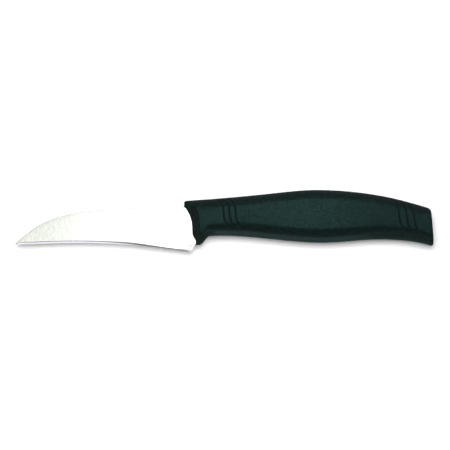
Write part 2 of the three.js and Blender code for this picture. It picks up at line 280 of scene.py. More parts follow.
spine_height = curve_through(
    (POINT_AT, -POINT_DROP, 0.98), (-59.7, -0.86, 0.43), (-42.5, 3.66, 0.12), (TANG_SHOULDER, SPINE_HEIGHT, 0)
)
edge_height = curve_through(
    (POINT_AT, -POINT_DROP, 0), (-47.0, -9.88, 0), (-14.7, -11.5, -0.12), (HEEL_AT, -HEEL_DROP, -0.12)
)
upper_rim = curve_through(
    (0, FRONT_TOP, 0.055), (36.5, 11.3, 0.105), (PEAK_AT, 12.94, 0), (HANDLE_LENGTH, BUTT_TOP, -0.32)
)
belly_line = curve_through(
    (0, -8.2, 0.14), (16.5, -6.83, 0), (BELLY_AT, -9.84, 0), (WAIST_AT, -8.48, 0),
    (HANDLE_LENGTH, -BUTT_DEPTH, -0.34),
)
face_inner = curve_through((-9.7, 5.05, 0), (-6.0, 3.62, -0.1), (-2.0, 3.37, -0.1), (FACE_TOP, 0, -0.84))
face_outer = curve_through((-9.7, 7.5, -0.2), (-2.0, 6.25, 0), (FRONT_TOP, 3.9, -0.3))


def smooth_step(x, start, end):
    t = np.clip((x - start) / (end - start), 0, 1)
    return t * t * (3 - 2 * t)


def between(start, end, share):
    return start + (end - start) * share


def there_and_back(side, far=1):
    """Columns of one side of a ring, and then those of its far side, which are the same times far."""
    return np.concatenate([side, far * side[..., -2:0:-1]], axis=-1)


# Meshes

def place(points):
    """Millimetres about the tang's axis to the part's frame in metres."""
    low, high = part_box("blade")
    shift = np.array([low.x / MM + BLADE_LENGTH, low.y / MM + HEEL_DROP, (low.z + high.z) / 2 / MM])
    return (points + shift) * MM


def closed_skin(name, rings, masks, sharp_angle):
    """A closed mesh over a grid of rings (row, column, xyz).

    Column 0 and the column half way round lie in the middle plane, and column c mirrors column -c. Each end
    is closed by strips that join a column to its mirror. masks are point attributes, one value for each grid
    point.
    """
    rows, columns = rings.shape[:2]
    index = np.arange(rows * columns).reshape(rows, columns)
    turned = np.roll(index, -1, axis=1)
    walls = np.stack([index[:-1], index[1:], turned[1:], turned[:-1]], axis=-1).reshape(-1, 4)
    half = columns // 2
    near = np.arange(1, half - 1)
    strips = np.stack([near, near + 1, columns - near - 1, columns - near], axis=-1)
    corners = np.array([[0, 1, columns - 1], [half - 1, half, half + 1]])
    last = (rows - 1) * columns
    faces = walls.tolist() + strips.tolist() + corners.tolist()
    faces += (last + strips[:, ::-1]).tolist() + (last + corners[:, ::-1]).tolist()
    mesh = bpy.data.meshes.new(name)
    mesh.from_pydata(place(rings).reshape(-1, 3).tolist(), [], faces)
    mesh.polygons.foreach_set("use_smooth", np.ones(len(mesh.polygons), dtype=bool))
    mesh.set_sharp_from_angle(angle=sharp_angle)
    for label, values in masks.items():
        attribute = mesh.attributes.new(label, "FLOAT", "POINT")
        attribute.data.foreach_set("value", values.ravel().astype(np.float32))
    mesh.validate()
    obj = bpy.data.objects.new(name, mesh)
    bpy.context.scene.collection.objects.link(obj)
    return obj


def stand_in_for(obj, node, material):
    obj.data.materials.append(material)
    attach(obj, "root")
    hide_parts(node)


# Blade

def blade_stations():
    """Where the blade's rings stand: close together at the point and at the heel."""
    along = between(-BLADE_LENGTH, HEEL_SWELL[0], np.linspace(0, 1, POINT_RINGS) ** POINT_CROWDING)
    heel = np.linspace(HEEL_SWELL[0], HEEL_AT - HONE_END, HEEL_RINGS)[1:]
    corner = np.linspace(HEEL_AT - HONE_END, HEEL_AT, HEEL_CORNER_RINGS)[1:]
    back = np.linspace(HEEL_AT, TANG_SHOULDER, HEEL_BACK_RINGS)[1:]
    tang = np.linspace(TANG_SHOULDER, TANG_LENGTH, TANG_RINGS)
    return np.concatenate([along, heel, corner, back]), tang


def blade_rings(settings):
    """Rings round the blade at each station along it.

    A ring runs from the middle of the spine over its rounded corner, down the ground face, down the honed
    bevel to the edge, and back up the other side. The ground face falls from the spine's half thickness to
    the bevel's as a power of the way down, so it is slightly hollow, and the bevel is hollow near the point
    in the same way. The spine thins out where the blade runs low at the point. At the heel the ground faces
    swell to the full thickness in a smooth step, and the bevel, which steepens there, ends at the heel's
    corner.
    """
    x, tang = blade_stations()
    x = np.concatenate([x, tang])[:, None]
    on_tang = np.zeros_like(x)
    on_tang[-len(tang):] = 1
    along_tang = (x - TANG_SHOULDER) / (TANG_LENGTH - TANG_SHOULDER)
    tang_half = between(TANG_HALF_WIDTH, TANG_END_HALF_WIDTH, along_tang)
    heel_back = -HEEL_DROP + (x - HEEL_AT) / HEEL_RAKE
    top = np.where(on_tang, tang_half, spine_height(x))
    low = np.where(on_tang, -tang_half, np.where(x > HEEL_AT, heel_back, edge_height(x)))
    from_point = x + BLADE_LENGTH
    thinning = THINNING_START - np.exp(-(top - low) / POINT_THINNING)
    spine = between(POINT_HALF, BLADE_HALF, np.clip(from_point / (HEEL_AT + BLADE_LENGTH), 0, 1))
    spine = spine * np.minimum(thinning, 1)
    narrowing = smooth_step(from_point, *BEVEL_NARROWING)
    bevel = between(settings.bevel_at_point, settings.bevel_at_heel, narrowing) / MM
    bevel = np.minimum(bevel, BEVEL_LIMIT * (top - low))
    swell = smooth_step(x, *HEEL_SWELL)
    unhoned = smooth_step(x, HEEL_AT - HONE_END, HEEL_AT)
    flattening = smooth_step(from_point, *HONE_HOLLOW_ENDS)
    hone_hollow = between(HONE_HOLLOW_AT_POINT, HONE_HOLLOW_AT_HEEL, flattening)
    shoulder = np.minimum(HONE_SLOPE * bevel, SHOULDER_LIMIT * spine)
    corner = np.minimum(settings.spine_round / MM, CORNER_LIMIT * spine)

    # Shares of the way across the spine, round its corner, down the ground face and down the bevel
    flat = np.linspace(0, 1, SPINE_COLUMNS)[:-1]
    turn = np.linspace(0, QUARTER, SPINE_ROUND_COLUMNS)
    face = np.linspace(0, 1, GROUND_COLUMNS)[1:]
    hone = np.linspace(0, 1, HONED_COLUMNS)[1:] ** HONED_CROWDING

    face_top = top - corner
    face_low = low + bevel
    y = np.concatenate([
        top + 0 * flat,
        face_top + corner * np.cos(turn),
        between(face_top, face_low, face),
        between(face_low, low, hone),
        low,
    ], axis=1)
    ground = between(shoulder, spine, (1 - face) ** GRIND_HOLLOW)
    honed_from = between(shoulder, BLADE_HALF, swell)
    z = np.concatenate([
        (spine - corner) * flat,
        spine - corner + corner * np.sin(turn),
        between(ground, BLADE_HALF, swell),
        between(EDGE_HALF, honed_from, np.maximum((1 - hone) ** hone_hollow, unhoned)),
        0 * low,
    ], axis=1)
    honed = np.concatenate([0 * flat, 0 * turn, 0 * face, 0 * hone + 1, [1.0]]) * (1 - unhoned)
    rise = np.concatenate([0 * flat + 1, 0 * turn + 1, 1 - face, 0 * hone, [0.0]]) + 0 * x
    # Painted shade: how strongly the heel is darkened, most towards its lower corner
    heel = smooth_step(x, *HEEL_SHADE) * between(HEEL_SHADE_TOP, 1, (1 - rise) ** HEEL_SHADE_POWER)
    y = there_and_back(y)
    masks = {"honed": there_and_back(honed), "rise": there_and_back(rise), "heel": there_and_back(heel)}
    return np.stack([x + 0 * y, y, there_and_back(z, -1)], axis=-1), masks


# Handle

def handle_columns():
    """How a ring round the handle is made up of four lines: upper rim, panel top, panel bottom, lower rim.

    Each column is a mix of two of them, with quarter ellipses between the rims and the panel, and a share of
    the half thickness, which is negative on the far side.
    """
    upper = np.linspace(0, QUARTER, UPPER_COLUMNS)
    panel = np.linspace(0, 1, PANEL_COLUMNS)[1:-1]
    lower = np.linspace(QUARTER, 0, LOWER_COLUMNS)
    none = np.zeros_like
    side = np.concatenate([
        np.stack([np.cos(upper), 1 - np.cos(upper), none(upper), none(upper), np.sin(upper)]),
        np.stack([none(panel), 1 - panel, panel, none(panel), none(panel) + 1]),
        np.stack([none(lower), none(lower), 1 - np.cos(lower), np.cos(lower), np.sin(lower)]),
    ], axis=1)
    return there_and_back(side, np.array([[1], [1], [1], [1], [-1]]))


def half_thickness(x):
    front = np.clip(1 - x / FRONT_TAPER[0], 0, 1)
    butt = np.clip(1 - (HANDLE_LENGTH - x) / BUTT_TAPER[0], 0, 1)
    return HANDLE_HALF - FRONT_TAPER[1] * front**2 - BUTT_TAPER[1] * butt**2


def handle_section(x, columns, inset=0.0):
    """Height and depth of every column at the stations x, drawn in by inset.

    The panel is crowned a little: its depth falls with the square of the distance from its middle line.
    """
    top = upper_rim(x)
    low = belly_line(x) - GUARD_DROP * (1 - smooth_step(x, GUARD_AT, GUARD_AT + GUARD_RUN))
    panel_top = top - TOP_ROUND
    belly_round = between(FRONT_BELLY_ROUND, BELLY_ROUND, smooth_step(x, *FRONT_BELLY_ENDS))
    panel_low = low + between(belly_round, BUTT_BELLY_ROUND, smooth_step(x, *BUTT_BELLY_ENDS))
    y = columns[0] * (top - inset) + columns[1] * panel_top
    y = y + columns[2] * panel_low + columns[3] * (low + inset)
    panel_half = (panel_top - panel_low) / 2
    off_middle = (y - panel_top + panel_half) / panel_half
    return y, columns[4] * (half_thickness(x) - inset) * (1 - PANEL_CROWN * off_middle**2)


def front_face(y, z):
    """Set-back of the front face: its inner contour beside the blade, slanting out to the panel's contour."""
    turn = np.clip((y - FRONT_TOP + NOSE_CORNER) / NOSE_CORNER, 0, 1)
    nose = NOSE_CORNER * (1 - np.sqrt(1 - turn**2))
    inner = np.where(y > FACE_TOP, nose, face_inner(y))
    rise = (np.abs(z) - NOSE_HALF_FLAT) / (FACE_HALF - NOSE_HALF_FLAT)
    return inner + (face_outer(y) - inner) * (rise + np.sqrt(rise**2 + NOSE_SOFTNESS**2)) / 2


def front_edge(columns):
    """Where each column meets the front face, x = face(y(x), z(x)), by repeated steps half way to it."""
    x = np.full(columns.shape[1], EDGE_GUESS)
    for _ in range(EDGE_STEPS):
        x = between(x, front_face(*handle_section(x, columns)), 0.5)
    return x


def bezier(points, t):
    a, b, c, d = points
    return a * (1 - t) ** 3 + 3 * b * t * (1 - t) ** 2 + 3 * c * t**2 * (1 - t) + d * t**3


def groove_offset(groove_set, middle, y):
    """How far an S that stands at middle lies off it at height y: a Bezier curve from rim to belly."""
    high = upper_rim(middle - groove_set["top_lean"]) - GROOVE_TOP_MARGIN
    low = belly_line(middle + groove_set["belly_lean"]) + GROOVE_BELLY_MARGIN
    t = np.linspace(0, 1, GROOVE_SAMPLES)
    drop = bezier((0, *GROOVE_BENDS, 1), t)
    place_on = np.interp((high - y) / (high - low), drop, t)
    off = bezier((-groove_set["top_lean"], *GROOVE_BOWS, groove_set["belly_lean"]), place_on)
    return off, place_on


def groove_rows(groove_set, columns):
    """Rows that run along the grooves of one set, close together across each groove."""
    across = np.linspace(-GROOVE_ROW_REACH, GROOVE_ROW_REACH, GROOVE_RINGS)
    middles = groove_set["first"] + groove_set["pitch"] * np.arange(GROOVE_COUNT)
    lands = (middles[:-1] + middles[1:]) / 2
    land = np.linspace(-1, 1, LAND_RINGS) * (groove_set["pitch"] / 2 - LAND_MARGIN)
    stations = np.concatenate([
        (middles[:, None] + across).ravel(),
        (lands[:, None] + land).ravel(),
        [middles[0] - GROOVE_MARGIN, middles[-1] + GROOVE_MARGIN],
    ])
    stations = np.sort(stations)[:, None]
    x = stations + np.zeros(columns.shape[1])
    for _ in range(GROOVE_STEPS):
        x = stations + groove_offset(groove_set, stations, handle_section(x, columns)[0])[0]
    return x


def surface_normals(rings):
    """Unit normals of a grid of rings: the cross product of its steps along and around."""
    along = np.gradient(rings, axis=0)
    around = np.roll(rings, -1, axis=1) - np.roll(rings, 1, axis=1)
    normal = np.cross(around, along)
    return normal / np.linalg.norm(normal, axis=-1, keepdims=True)


def groove_depth(x, y, settings):
    """Depth of the grooves at each point, from 0 to 1: a bell across each S, run out at both ends of it.

    The distance across is measured along the handle and squared with the slope of the S.
    """
    depth = np.zeros_like(x)
    half_width = settings.groove_width / MM / 2
    for groove_set in GROOVE_SETS:
        for i in range(GROOVE_COUNT):
            middle = groove_set["first"] + groove_set["pitch"] * i
            off, t = groove_offset(groove_set, middle, y)
            slope = (groove_offset(groove_set, middle, y + SLOPE_STEP)[0] - off) / SLOPE_STEP
            across = (x - middle - off) / np.sqrt(1 + slope**2)
            bell = np.clip(1 - (across / half_width) ** 2, 0, 1) ** GROOVE_BELL
            fade = 1 - (1 - np.sin(np.pi * t)) ** GROOVE_FADE
            depth = np.maximum(depth, bell * fade)
    return depth


def slot_ring(columns, low, high):
    """The blade's slot seen from the front: a thin rectangle, with its short ends on the middle columns."""
    side = columns.shape[1] // 2 + 1
    j = np.arange(side)
    end = SLOT_END_COLUMNS
    share = np.clip((j - end) / (side - 1 - 2 * end), 0, 1)
    z = SLOT_HALF * np.clip(np.minimum(j, side - 1 - j) / end, 0, 1)
    return there_and_back(between(high, low, share)), there_and_back(z, -1)


def socket_rings(columns):
    """Rings of the socket, from the tang's far end to its shoulder and out over that to the slot's top."""
    end = TANG_END_HALF_WIDTH + SLOT_GAP
    root = TANG_HALF_WIDTH + SLOT_GAP
    shoulder = TANG_SHOULDER + SLOT_GAP
    rings = []
    for depth, low, high in (
        (TANG_LENGTH + SLOT_GAP, -end, end), (shoulder, -root, root), (shoulder, -root, SLOT_TOP)
    ):
        y, z = slot_ring(columns, low, high)
        rings.append(np.stack([depth + 0 * y, y, z], axis=-1))
    return np.stack(rings)


def face_rings(columns, corner, round_edge):
    """Rings of the front face, from the slot straight out to where the rounding of its edge begins."""
    slot_y, slot_z = slot_ring(columns, SLOT_LOW, SLOT_TOP)
    corner_y, corner_z = corner[:, 1], corner[:, 2]
    reach = np.hypot(corner_y - slot_y, corner_z - slot_z)
    share = np.linspace(0, 1, FACE_RINGS)[:, None] * (1 - np.minimum(round_edge / reach, EDGE_LIMIT))
    y = between(slot_y, corner_y, share)
    z = between(slot_z, corner_z, share)
    return np.stack([front_face(y, z), y, z], axis=-1)


def side_rings(columns, start, settings):
    """Rings of the sides from start to the rounded butt, with where they stand and how deep the grooves are.

    Rows follow the grooves at both grips and run straight between them. The rear leans with its height, and
    the grooves are cut in along the surface's normals.
    """
    front_set, rear_set = (groove_rows(groove_set, columns) for groove_set in GROOVE_SETS)
    end = HANDLE_LENGTH - BUTT_ROUND
    x = np.concatenate([
        between(start, front_set[0], np.linspace(0, 1, FRONT_RINGS)[:-1, None]),
        front_set,
        between(front_set[-1], rear_set[0], np.linspace(0, 1, MIDDLE_RINGS)[1:-1, None]),
        rear_set,
        between(rear_set[-1], end, np.linspace(0, 1, REAR_RINGS)[1:-1, None]),
    ])
    y, z = handle_section(x, columns)
    turn = np.linspace(0, QUARTER, BUTT_RINGS)[:, None]
    butt_x = end + BUTT_ROUND * np.sin(turn)
    butt_y, butt_z = handle_section(butt_x, columns, BUTT_ROUND * (1 - np.cos(turn)))
    x = np.concatenate([x, butt_x + 0 * butt_y])
    y = np.concatenate([y, butt_y])
    z = np.concatenate([z, butt_z])
    lean = BUTT_RAKE * smooth_step(x, HANDLE_LENGTH - BUTT_RAKE_LENGTH, HANDLE_LENGTH)
    sides = np.stack([x + lean * ((BUTT_TOP - BUTT_DEPTH) / 2 - y), y, z], axis=-1)
    depth = groove_depth(x, y, settings)
    sides = sides - surface_normals(sides) * depth[..., None] * settings.groove_depth / MM
    return sides, x, depth


def side_masks(columns, x):
    """How matt and how pale the sides are.

    They are matt on the roundings, the guard and the butt, and pale along the lower rim in a painted
    reflection of the floor.
    """
    past_guard = smooth_step(x, GUARD_AT, GUARD_AT + 2 * GUARD_RUN)
    rear = smooth_step(x, *PALE_REAR)
    start, end = (
        between(guard, between(grip, butt, rear), past_guard)
        for guard, grip, butt in zip(MATT_GUARD_ENDS, MATT_LOWER_ENDS, MATT_REAR_ENDS)
    )
    upper = MATT_UPPER * smooth_step(columns[0], *MATT_UPPER_ENDS)
    lower = between(MATT_GUARD, MATT_LOWER, past_guard) * smooth_step(columns[3], start, end)
    matt = np.maximum(upper + lower, smooth_step(x, HANDLE_LENGTH - BUTT_ROUND, HANDLE_LENGTH))
    # Painted reflection: the pale strip along the lower rim, coming in past the guard and fading towards the
    # butt
    pale = smooth_step(columns[3], *RIM_REFLECTION_ENDS) * (smooth_step(x, *RIM_REFLECTION_FRONT) * (1 - RIM_REFLECTION_LOSS * rear))
    return matt, pale


def handle_rings(settings):
    """Rings of the handle from the end of the tang's socket out to the front face and back over the grip.

    The edge of the front face is rounded by a quadratic Bezier arc from the face to the side.
    """
    columns = handle_columns()
    round_edge = settings.edge_round / MM
    start = front_edge(columns)
    corner = np.stack([start, *handle_section(start, columns)], axis=-1)
    face = face_rings(columns, corner, round_edge)
    sides, x, depth = side_rings(columns, start + round_edge, settings)
    t = np.linspace(0, 1, EDGE_RINGS)[1:-1, None, None]
    edge = face[-1] * (1 - t) ** 2 + 2 * corner * t * (1 - t) + sides[0] * t**2
    rings = np.concatenate([socket_rings(columns), face, edge, sides])

    first_side = len(rings) - len(sides)
    masks = {label: np.zeros(rings.shape[:2]) for label in ("groove", "matt", "pale", "front")}
    masks["groove"][first_side:] = depth
    masks["matt"][:first_side] = MATT_FACE
    masks["matt"][first_side:], masks["pale"][first_side:] = side_masks(columns, x)
    masks["front"][:first_side] = 1
    masks["front"][first_side - len(edge):first_side] -= t[..., 0]
    return rings, masks


# Shader nodes

MIX_COLOURS = (6, 7)
MIX_RESULT = 2


def add_node(tree, kind, values=None, links=None, **settings):
    """A node with its settings, its sockets' values and its incoming links."""
    node = tree.nodes.new(kind)
    for label, value in settings.items():
        setattr(node, label, value)
    for socket, value in (values or {}).items():
        node.inputs[socket].default_value = value
    for socket, source in (links or {}).items():
        tree.links.new(source, node.inputs[socket])
    return node


def feed(tree, socket, source):
    """Give a socket a link where the source is another socket, and otherwise a constant value."""
    if isinstance(source, bpy.types.NodeSocket):
        tree.links.new(source, socket)
    else:
        socket.default_value = source


def add_math(tree, operation, *terms, clamp=False):
    node = add_node(tree, "ShaderNodeMath", operation=operation, use_clamp=clamp)
    for socket, term in zip(node.inputs, terms):
        feed(tree, socket, term)
    return node.outputs["Value"]


def add_ramp(tree, value, start, end, low, high, smooth=False):
    """A value that goes from low to high while another goes from start to end, and is level beyond them."""
    node = add_node(tree, "ShaderNodeMapRange", interpolation_type="SMOOTHSTEP" if smooth else "LINEAR")
    labels = ("Value", "From Min", "From Max", "To Min", "To Max")
    for label, source in zip(labels, (value, start, end, low, high)):
        feed(tree, node.inputs[label], source)
    return node.outputs["Result"]


def add_colour_mix(tree, factor, first, second):
    """The first colour blended into the second. The node keeps other sockets for other kinds of data."""
    node = add_node(tree, "ShaderNodeMix", data_type="RGBA")
    feed(tree, node.inputs["Factor"], factor)
    for index, source in zip(MIX_COLOURS, (first, second)):
        feed(tree, node.inputs[index], source)
    return node.outputs[MIX_RESULT]


def add_mask(tree, label):
    return add_node(tree, "ShaderNodeAttribute", attribute_name=label).outputs["Fac"]


def opaque(colour_setting):
    return (*colour_setting, 1)


def streak_group():
    """A node group: noise as a value between two ends, drawn out where the vector that it gets is."""
    if "streaks" in bpy.data.node_groups:
        return bpy.data.node_groups["streaks"]
    tree = bpy.data.node_groups.new("streaks", "ShaderNodeTree")
    tree.interface.new_socket("Vector", in_out="INPUT", socket_type="NodeSocketVector")
    for label in ("Scale", "Detail", "Low", "High"):
        tree.interface.new_socket(label, in_out="INPUT", socket_type="NodeSocketFloat")
    tree.interface.new_socket("Value", in_out="OUTPUT", socket_type="NodeSocketFloat")
    come_in = tree.nodes.new("NodeGroupInput").outputs
    noise = add_node(
        tree, "ShaderNodeTexNoise", {"Roughness": NOISE_ROUGHNESS},
        {label: come_in[label] for label in ("Vector", "Scale", "Detail")},
    )
    spread = add_ramp(tree, noise.outputs["Fac"], *NOISE_SPREAD, come_in["Low"], come_in["High"])
    add_node(tree, "NodeGroupOutput", links={"Value": spread})
    return tree


def add_streaks(tree, vector, scale, detail, low=0.0, high=1.0):
    node = add_node(tree, "ShaderNodeGroup", node_tree=streak_group())
    values = {"Vector": vector, "Scale": scale, "Detail": detail, "Low": low, "High": high}
    for label, source in values.items():
        feed(tree, node.inputs[label], source)
    return node.outputs["Value"]


# Materials

def new_material(name):
    """A material with an empty Principled surface, and its tree."""
    material = bpy.data.materials.new(name)
    material.use_nodes = True
    tree = material.node_tree
    return material, tree, tree.nodes["Principled BSDF"]


def ground_steel(settings):
    """Bright stainless steel with grind lines from spine to edge.

    Its colour carries painted shade: an even shade near the point, deeper towards the spine, with coarser
    grind streaks in it, a thin dark line along the spine for the darker reflection of its rounded corner, and
    a mottled shade on the heel.
    Its honed bevel is darker.
    """
    material, tree, surface = new_material("ground_steel")
    position = add_node(tree, "ShaderNodeTexCoord").outputs["Object"]
    turned = add_node(
        tree, "ShaderNodeMapping", {"Rotation": (0, 0, settings.grind_tilt), "Scale": GRIND_STRETCH},
        {"Vector": position},
    ).outputs["Vector"]
    fine = add_streaks(tree, turned, 1 / settings.grind_line, detail=3.0)
    coarse_scale = COARSE_GRIND / settings.grind_line
    coarse = add_streaks(tree, turned, coarse_scale, detail=1.0, low=-COARSE_SHADE, high=COARSE_SHADE)
    mottle = add_streaks(tree, position, MOTTLE_SCALE, detail=2.0, low=MOTTLE[0], high=MOTTLE[1])
    rise = add_mask(tree, "rise")
    honed = add_mask(tree, "honed")

    along = add_node(tree, "ShaderNodeSeparateXYZ", links={"Vector": position}).outputs["X"]
    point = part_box("blade")[0].x
    start, end = (point + distance * MM for distance in POINT_SHADE_ENDS)
    # Painted shade near the point: an even darkening, deeper towards the spine, with the coarse grind streaks
    # added
    near_point = add_ramp(tree, along, start, end, 1.0, 0.0, smooth=True)
    near_spine = add_math(tree, "POWER", rise, SPINE_SHADE_POWER)
    streaks = add_math(tree, "MULTIPLY_ADD", near_spine, SPINE_SHADE, POINT_SHADE)
    streaks = add_math(tree, "ADD", streaks, coarse)
    shade = add_math(tree, "MULTIPLY", streaks, near_point, clamp=True)
    # Painted shade: a thin dark line along the spine, standing in for the darker reflection in its rounded
    # corner
    painted_spine_line = add_math(tree, "POWER", rise, SPINE_LINE_POWER)
    painted_spine_line = add_math(tree, "MULTIPLY", painted_spine_line, SPINE_LINE)
    # Painted shade on the heel, mottled
    heel_shade = add_math(tree, "MULTIPLY", add_mask(tree, "heel"), mottle)
    for other in (painted_spine_line, heel_shade):
        shade = add_math(tree, "MAXIMUM", shade, other)
    steel = add_colour_mix(tree, shade, opaque(settings.steel_colour), opaque(settings.streak_and_shade_colour))
    finish = add_colour_mix(tree, honed, steel, opaque(settings.honed_colour))
    tree.links.new(finish, surface.inputs["Base Color"])

    rough = add_ramp(tree, fine, 0.0, 1.0, *STEEL_ROUGHNESS)
    rough = add_math(tree, "MULTIPLY_ADD", honed, HONED_ROUGHNESS, rough)
    tree.links.new(rough, surface.inputs["Roughness"])
    bump = {"Strength": GRIND_BUMP, "Distance": GRIND_BUMP_DEPTH * MM}
    bump = add_node(tree, "ShaderNodeBump", bump, {"Height": fine})
    tree.links.new(bump.outputs["Normal"], surface.inputs["Normal"])
    surface.inputs["Metallic"].default_value = 1.0
    return material


def moulded_polymer(settings):
    """Dark green-black polymer with the fine grain of an eroded mould, a little cloudy.

    The matt areas are rougher and calmer, the lower rim is paler in a painted reflection of the floor, the
    grooves are darker with painted shade and duller, and the front face throws back less light. The grain's
    lattice is turned, so that no flat side lies along it.
    """
    material, tree, surface = new_material("moulded_polymer")
    position = add_node(tree, "ShaderNodeTexCoord").outputs["Object"]
    turned = add_node(tree, "ShaderNodeMapping", {"Rotation": GRAIN_TURN}, {"Vector": position})
    turned = turned.outputs["Vector"]
    grain = add_streaks(tree, turned, 1 / settings.grain_size, detail=1.0)
    cloud = add_streaks(tree, turned, CLOUD_SCALE, detail=3.0)
    matt = add_mask(tree, "matt")
    groove = add_mask(tree, "groove")

    tone = add_math(tree, "MULTIPLY_ADD", cloud, CLOUD_CONTRAST, TONE_SHIFT)
    tone = add_math(tree, "MULTIPLY_ADD", grain, GRAIN_CONTRAST, tone)
    tone = add_ramp(tree, matt, 0.0, FULLY_MATT, tone, MATT_TONE)
    body = add_colour_mix(tree, tone, opaque(settings.polymer_dark), opaque(settings.polymer_colour))
    # Painted reflection: the lower rim is blended to a paler colour
    body = add_colour_mix(tree, add_mask(tree, "pale"), body, opaque(settings.rim_reflection_colour))
    # Painted shade: the grooves are blended to a darker colour
    body = add_colour_mix(tree, groove, body, opaque(settings.groove_shade_colour))
    tree.links.new(body, surface.inputs["Base Color"])

    rough = add_ramp(tree, tone, 0.0, 1.0, *POLYMER_ROUGHNESS)
    for mask, gain in ((matt, MATT_ROUGHNESS), (groove, GROOVE_ROUGHNESS)):
        rough = add_math(tree, "MULTIPLY_ADD", mask, gain, rough)
    tree.links.new(rough, surface.inputs["Roughness"])
    gloss = add_ramp(tree, add_mask(tree, "front"), 0.0, 1.0, POLYMER_GLOSS, FACE_GLOSS)
    tree.links.new(gloss, surface.inputs["Specular IOR Level"])
    surface.inputs["Specular Tint"].default_value = opaque(settings.gloss_tint)
    bump = {"Strength": GRAIN_BUMP, "Distance": GRAIN_BUMP_DEPTH * MM}
    bump = add_node(tree, "ShaderNodeBump", bump, {"Height": grain})
    tree.links.new(bump.outputs["Normal"], surface.inputs["Normal"])
    return material


# Settings

def length(name, description, default):
    return FloatProperty(name=name, description=description, default=default, min=0.0, subtype="DISTANCE",
                         unit="LENGTH", precision=5)


def power(name, description, default):
    return FloatProperty(name=name, description=description, default=default, min=0.0, subtype="POWER",
                         unit="POWER", precision=4)


def fraction(name, description, default):
    return FloatProperty(name=name, description=description, default=default, min=0.0, max=1.0,
                         subtype="FACTOR")


def colour(name, description, default):
    return FloatVectorProperty(name=name, description=description, default=default, min=0.0, max=1.0,
                               subtype="COLOR", size=3)


class KnifeBladeSettings(bpy.types.PropertyGroup):
    bevel_at_point: length("Bevel at point", "Height of the honed bevel near the point", 0.98 * MM)
    bevel_at_heel: length("Bevel at heel", "Height of the honed bevel at the heel", 0.5 * MM)
    spine_round: length("Spine rounding", "Rounding of the spine's two corners", 0.18 * MM)
    grind_line: length("Grind line", "Width of the finest grind lines", 0.25 * MM)
    grind_tilt: FloatProperty(name="Grind tilt", description="Lean of the grind lines off the blade's height",
                              default=math.radians(8), subtype="ANGLE", unit="ROTATION")
    steel_colour: colour("Steel", "Colour of the ground faces", (0.93, 0.935, 0.92))
    # Painted shade: this colour is mixed in for the grind streaks and for the shade near the point, along the
    # spine and on the heel
    streak_and_shade_colour: colour("Streaks", "Colour of the shaded steel", (0.52, 0.56, 0.45))
    honed_colour: colour("Honed bevel", "Colour of the honed bevel", (0.80, 0.80, 0.86))


class KnifeHandleSettings(bpy.types.PropertyGroup):
    edge_round: length("Edge rounding", "Rounding of the front face's edge", 0.35 * MM)
    groove_depth: length("Groove depth", "Depth of the grip grooves", 0.32 * MM)
    groove_width: length("Groove width", "Width of the grip grooves", 0.8 * MM)
    grain_size: length("Grain", "Size of the mould's grain", 0.5 * MM)
    polymer_colour: colour("Polymer", "Colour of the moulding", (0.0075, 0.0153, 0.0142))
    polymer_dark: colour("Polymer, dark", "Colour of the darker grain", (0.0012, 0.0026, 0.0025))
    # Painted reflection: this paler colour stands in for the floor's light thrown back by the lower rim
    rim_reflection_colour: colour("Lower rim", "Colour of the pale strip at the lower rim", (0.0085, 0.0235, 0.0225))
    # Painted shade in the grooves' floors
    groove_shade_colour: colour("Grooves", "Colour of the grooves' floors", (0.0026, 0.0054, 0.0050))
    gloss_tint: colour("Gloss tint", "Tint of the light that is thrown straight back", (0.42, 1.0, 0.92))


class KnifeStageSettings(bpy.types.PropertyGroup):
    floor_colour: colour("Floor", "Colour of the floor", (0.95, 0.95, 0.95))
    floor_lift: fraction("Floor lift", "Glow that makes the open floor white", 0.14)
    far_lift: fraction("Far lift", "The same glow far from the lamps", 0.95)
    view_width: length("View width", "Width of the picture at the blade's middle plane", 194.013 * MM)
    lens: FloatProperty(name="Lens", description="Focal length in millimetres", default=280.0, min=1.0,
                        subtype="DISTANCE_CAMERA", unit="CAMERA")
    key_power: power("Key", "Power of the lamp that casts the shadow", 7.4)
    softbox_power: power("Softbox", "Power of the broad lamp overhead", 6.3)
    sheen_power: power("Sheen", "Power of the small lamp close over the grip", 0.0082)
    neck_power: power("Neck sheen", "Power of the small lamp close over the neck", 0.0055)


# Stage

def add_lamp(name, energy, target, size, tilt, distance):
    """A rectangular lamp, tilted off the zenith towards the spine and aimed at the target."""
    lamp = bpy.data.lights.new(name, "AREA")
    lamp.energy = energy
    lamp.shape = "RECTANGLE"
    lamp.size, lamp.size_y = size
    obj = bpy.data.objects.new(name, lamp)
    obj.location = target + distance * Vector((0, math.sin(tilt), math.cos(tilt)))
    obj.rotation_euler = (target - obj.location).to_track_quat("-Z", "Y").to_euler()
    bpy.context.scene.collection.objects.link(obj)
    obj.visible_camera = False
    return obj


def studio_lamps(settings, centre):
    """A lamp for the shadow, a softbox that shows in the steel, and two small lamps for the grip's sheen."""
    grip, neck = (Vector((x * MM, y * MM, centre.z)) for x, y in (SHEEN_OVER, NECK_SHEEN_OVER))
    key = add_lamp(
        "key", settings.key_power, centre, size=(0.34, 0.34), tilt=math.radians(11.7), distance=1.0
    )
    key.visible_glossy = False
    add_lamp("softbox", settings.softbox_power, centre, size=(1.4, 1.25), tilt=math.radians(15), distance=1.2)
    add_lamp("sheen", settings.sheen_power, grip, size=(0.038, 0.035), tilt=0.0, distance=0.1)
    neck_sheen = add_lamp(
        "neck_sheen", settings.neck_power, neck, size=(0.034, 0.035), tilt=0.0, distance=0.1
    )
    neck_sheen.visible_diffuse = False


def seen_directly(tree):
    """1 for a ray from the camera or by way of gloss or glass, 0 for the rest."""
    path = add_node(tree, "ShaderNodeLightPath").outputs
    seen = add_math(tree, "MAXIMUM", path["Is Camera Ray"], path["Is Glossy Ray"])
    return add_math(tree, "MAXIMUM", seen, path["Is Transmission Ray"])


